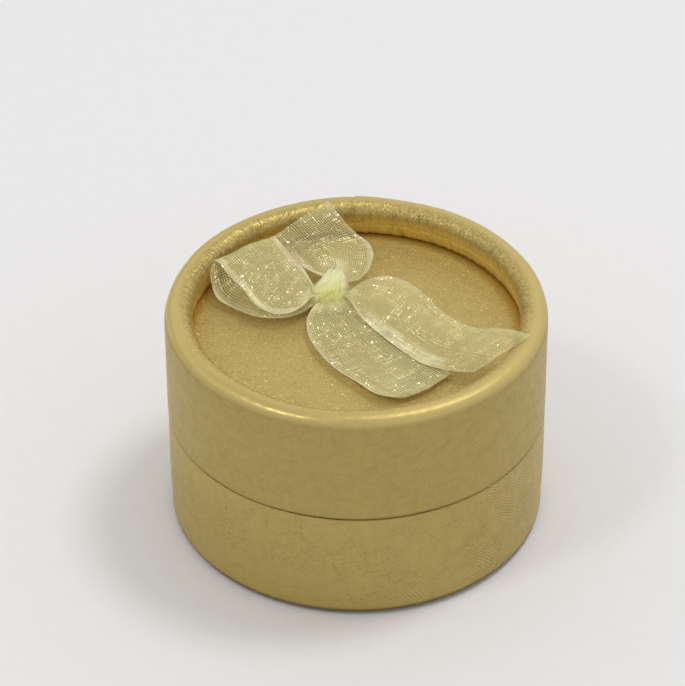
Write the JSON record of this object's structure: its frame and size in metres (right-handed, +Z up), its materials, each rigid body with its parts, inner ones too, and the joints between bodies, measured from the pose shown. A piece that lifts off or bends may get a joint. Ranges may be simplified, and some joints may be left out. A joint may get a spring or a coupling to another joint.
{
  "type": "round gift box",
  "caption": "Small round paper-covered board ring box with a lift-off lid, rolled rim, recessed lid top, sheer organza bow, inner neck and slit ring pad.",
  "frame": {"origin": "centre of the base's underside, on the surface that the box stands on", "axes": "+Z up along the box's turning axis; the picture is taken from the -Y side, with +X to the right"},
  "size_m": [0.055, 0.055, 0.0364],
  "materials": {
    "base_wrap_paper": "pearlescent gold paper with a soft embossed scroll pattern",
    "lid_wrap_paper": "pearlescent gold paper with a soft embossed scroll pattern, finely creased where it turns round the rim",
    "lid_disc_paper": "pearlescent gold paper with a fine sparkling grain",
    "neck_cover_paper": "plain pearlescent gold paper",
    "underside_cover_paper": "pearlescent gold paper, lightly rubbed",
    "ceiling_cover_paper": "matt cream lining paper",
    "greyboard": "raw grey-brown board",
    "neck_board": "raw pale board",
    "pad_foam": "open-cell foam, off-white",
    "pad_velour": "short-pile cream velour",
    "organza": "sheer pale yellow-green organza with satin selvages and a fine glitter",
    "organza_knot": "gathered organza, almost opaque",
    "hot_glue": "milky hot-melt glue"
  },
  "bodies": {
    "base": {"base_wrap": "base_wrap_paper", "base_tube": "greyboard", "base_disc": "greyboard", "base_underside_paper": "underside_cover_paper", "neck_tube": "neck_board", "neck_paper": "neck_cover_paper"},
    "ring_insert": {"foam_pad": "pad_foam", "velour_cover": "pad_velour"},
    "lid": {"lid_wrap": "lid_wrap_paper", "lid_tube": "greyboard", "lid_disc": "greyboard", "lid_top_paper": "lid_disc_paper", "lid_ceiling_paper": "ceiling_cover_paper", "bow_left_loop": "organza", "bow_back_tail": "organza", "bow_front_loop": "organza", "bow_right_tail": "organza", "bow_knot": "organza_knot", "bow_glue_dot": "hot_glue"}
  },
  "joints": [
    {"name": "lid_lift", "type": "slide", "parent": "base", "child": "lid", "axis": [0, 0, 1], "range_m": [0, 0.03]},
    {"name": "insert_lift", "type": "slide", "parent": "base", "child": "ring_insert", "axis": [0, 0, 1], "range_m": [0, 0.0065]}
  ]
}
